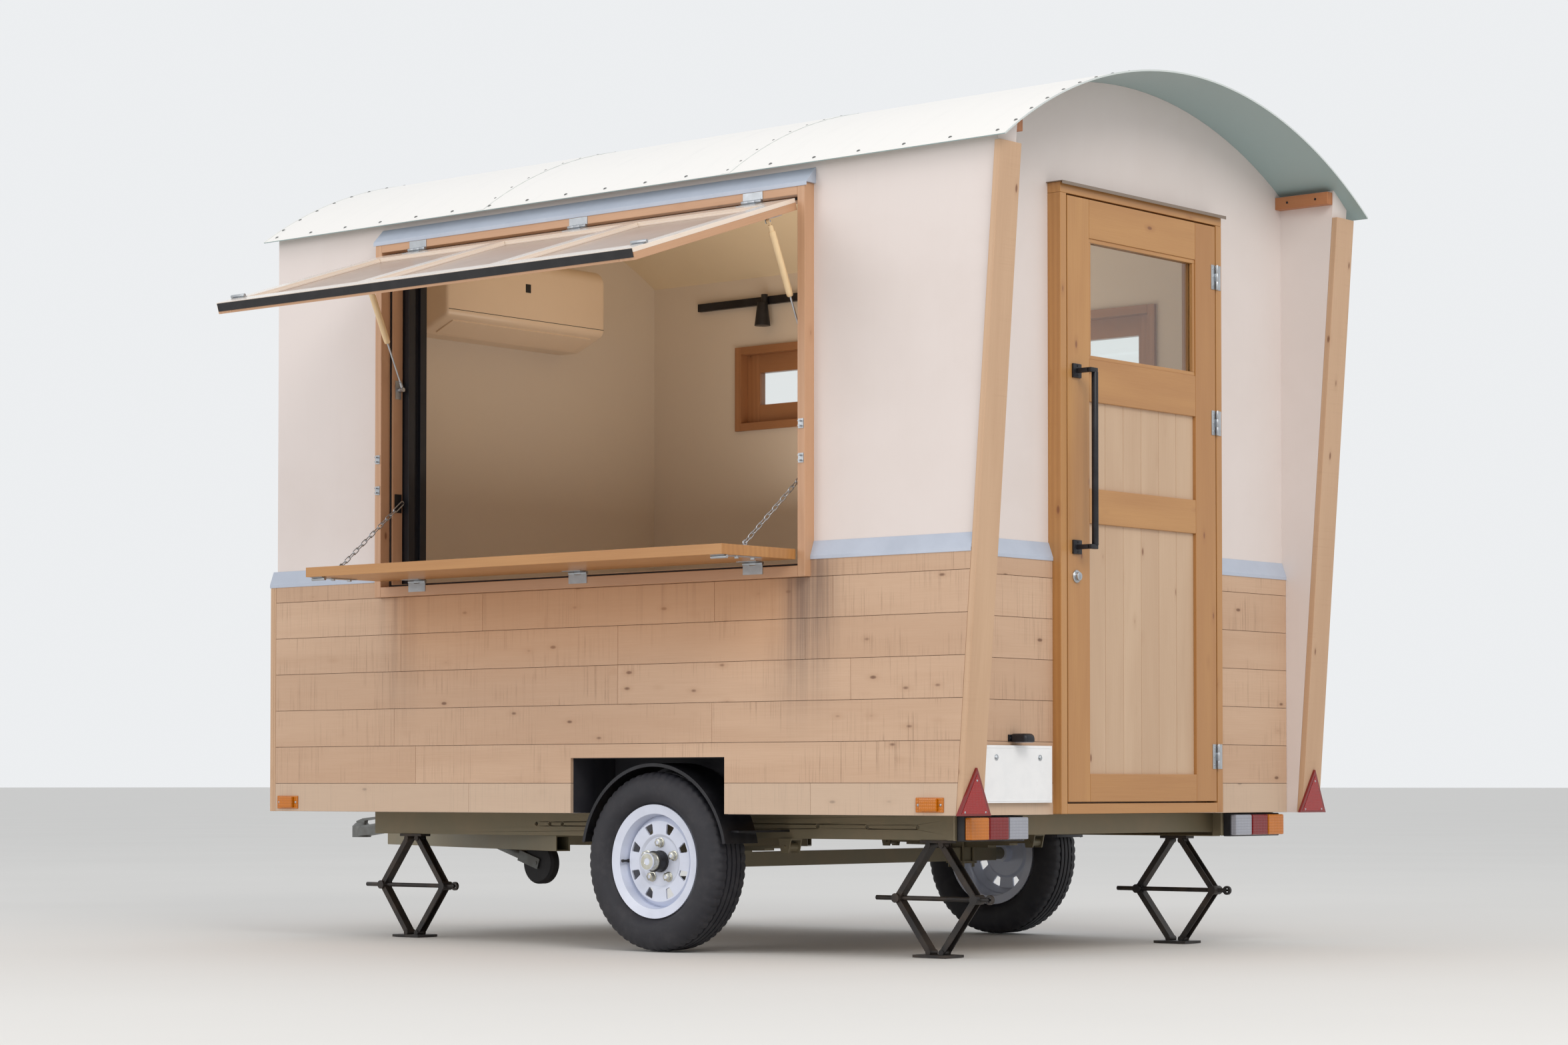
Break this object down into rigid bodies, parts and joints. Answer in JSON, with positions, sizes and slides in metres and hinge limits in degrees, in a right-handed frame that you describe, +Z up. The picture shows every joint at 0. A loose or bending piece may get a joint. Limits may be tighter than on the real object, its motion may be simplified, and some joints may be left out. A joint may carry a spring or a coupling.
{
  "type": "wooden shop trailer",
  "caption": "Small wooden-clad shop trailer with a bow roof, a lift-up awning hatch over a fold-down counter, a glazed end door, scissor jacks and a swing-up jockey wheel.",
  "frame": {"origin": "centre of the towing ball in the coupling head", "axes": "+X forward along the trailer to the towing vehicle, +Y to the hatch side, +Z up"},
  "size_m": [3.658, 2.6329, 2.613],
  "materials": {
    "white_wall": "cream smooth panel",
    "cedar": "oiled plank",
    "golden_wood": "varnished board",
    "roof_white": "pale coated sheet",
    "grey_flashing": "blue-grey coated sheet",
    "floor_wood": "plywood",
    "olive_steel": "dark olive paint",
    "zinc": "zinc plated",
    "black_metal": "black coated",
    "tyre": "black rubber",
    "wheel_white": "white paint",
    "glass": "clear",
    "white_plastic": "white plastic",
    "lamp": "coloured lens",
    "red_reflector": "red reflector",
    "amber": "amber lens",
    "plate": "blank white plate",
    "infill": "pale sheet",
    "strut_body": "beige tube",
    "rubber": "solid rubber"
  },
  "bodies": {
    "trailer": {"side_wall_left": "white_wall", "side_wall_right": "white_wall", "front_wall": "white_wall", "rear_wall": "white_wall", "floor_deck": "floor_wood", "wheel_boxes": "white_wall", "roof_panel": "white_wall", "roof_skin": "roof_white", "edge_boards": "cedar", "eave_blocks": "golden_wood", "cladding_left": "cedar", "cladding_right": "cedar", "cladding_ends": "cedar", "flashings": "grey_flashing", "hatch_casing": "golden_wood", "screen_cassette": "black_metal", "hatch_hardware": "zinc", "door_casing": "golden_wood", "door_hinges": "zinc", "window_frames": "golden_wood", "window_glass": "glass", "chassis_rails": "olive_steel", "cross_members": "olive_steel", "drawbar_legs": "olive_steel", "coupling_head": "zinc", "axle_beam": "olive_steel", "leaf_springs": "olive_steel", "mudguards": "black_metal", "jack_rear_left": "olive_steel", "jack_rear_right": "olive_steel", "jack_front_left": "olive_steel", "jack_front_right": "olive_steel", "jockey_bracket": "olive_steel", "tail_lamps": "lamp", "lamp_brackets": "zinc", "rear_triangles": "red_reflector", "side_markers": "amber", "number_plate": "plate", "plate_lamp": "black_metal", "air_conditioner": "white_plastic", "light_track": "black_metal"},
    "wheel_left": {"tyre_left": "tyre", "rim_left": "wheel_white"},
    "wheel_right": {"tyre_right": "tyre", "rim_right": "wheel_white"},
    "door": {"door_leaf": "golden_wood", "door_glass": "glass", "door_hardware": "black_metal"},
    "awning": {"awning_frame": "golden_wood", "awning_panels": "infill", "awning_hardware": "zinc"},
    "strut_cylinder_rear": {"strut_cylinder_rear": "strut_body"},
    "strut_cylinder_front": {"strut_cylinder_front": "strut_body"},
    "strut_rod_rear": {"strut_rod_rear": "zinc"},
    "strut_rod_front": {"strut_rod_front": "zinc"},
    "counter": {"counter_top": "golden_wood", "counter_hardware": "zinc", "stay_chains": "zinc"},
    "jockey_post": {"jockey_post": "zinc"},
    "jockey_wheel": {"jockey_wheel": "rubber"}
  },
  "joints": [
    {"name": "wheel_left_spin", "type": "hinge", "parent": "trailer", "child": "wheel_left", "pos_m": [-2.256, 0.8455, -0.058], "axis": [0, 1, 0], "continuous": true},
    {"name": "wheel_right_spin", "type": "hinge", "parent": "trailer", "child": "wheel_right", "pos_m": [-2.256, -0.8455, -0.058], "axis": [0, 1, 0], "continuous": true},
    {"name": "door_swing", "type": "hinge", "parent": "trailer", "child": "door", "pos_m": [-3.4273, -0.3935, 1.012], "axis": [0, 0, 1], "range_deg": [0, 110]},
    {"name": "awning_close", "type": "hinge", "parent": "trailer", "child": "awning", "pos_m": [-1.9975, 0.972, 1.883], "axis": [-1, 0, 0], "range_deg": [0, 72]},
    {"name": "strut_rear_swing", "type": "hinge", "parent": "awning", "child": "strut_cylinder_rear", "pos_m": [-2.845, 1.06, 1.801], "axis": [-1, 0, 0], "range_deg": [-93.13, 0.5]},
    {"name": "strut_rear_slide", "type": "slide", "parent": "strut_cylinder_rear", "child": "strut_rod_rear", "axis": [0, 0.4181, 0.9084], "range_m": [-0.0005, 0.06219]},
    {"name": "strut_front_swing", "type": "hinge", "parent": "awning", "child": "strut_cylinder_front", "pos_m": [-1.15, 1.06, 1.801], "axis": [-1, 0, 0], "range_deg": [-93.13, 0.5]},
    {"name": "strut_front_slide", "type": "slide", "parent": "strut_cylinder_front", "child": "strut_rod_front", "axis": [0, 0.4181, 0.9084], "range_m": [-0.0005, 0.06219]},
    {"name": "counter_fold", "type": "hinge", "parent": "trailer", "child": "counter", "pos_m": [-1.9975, 0.966, 0.82], "axis": [1, 0, 0], "range_deg": [0, 90], "deforming": ["stay_chains"]},
    {"name": "jockey_swing", "type": "hinge", "parent": "trailer", "child": "jockey_post", "pos_m": [-0.949, 0.272, -0.019], "axis": [0, -1, 0], "range_deg": [0, 72.73]},
    {"name": "jockey_spin", "type": "hinge", "parent": "jockey_post", "child": "jockey_wheel", "pos_m": [-1.171, 0.272, -0.088], "axis": [0, 1, 0], "continuous": true}
  ],
  "couplings": [
    {"joint": "strut_rear_swing", "follows": "awning_close", "ratio": -1.2865},
    {"joint": "strut_rear_slide", "follows": "awning_close", "m_per_rad": 0.049095},
    {"joint": "strut_front_swing", "follows": "awning_close", "ratio": -1.2865},
    {"joint": "strut_front_slide", "follows": "awning_close", "m_per_rad": 0.049095}
  ]
}
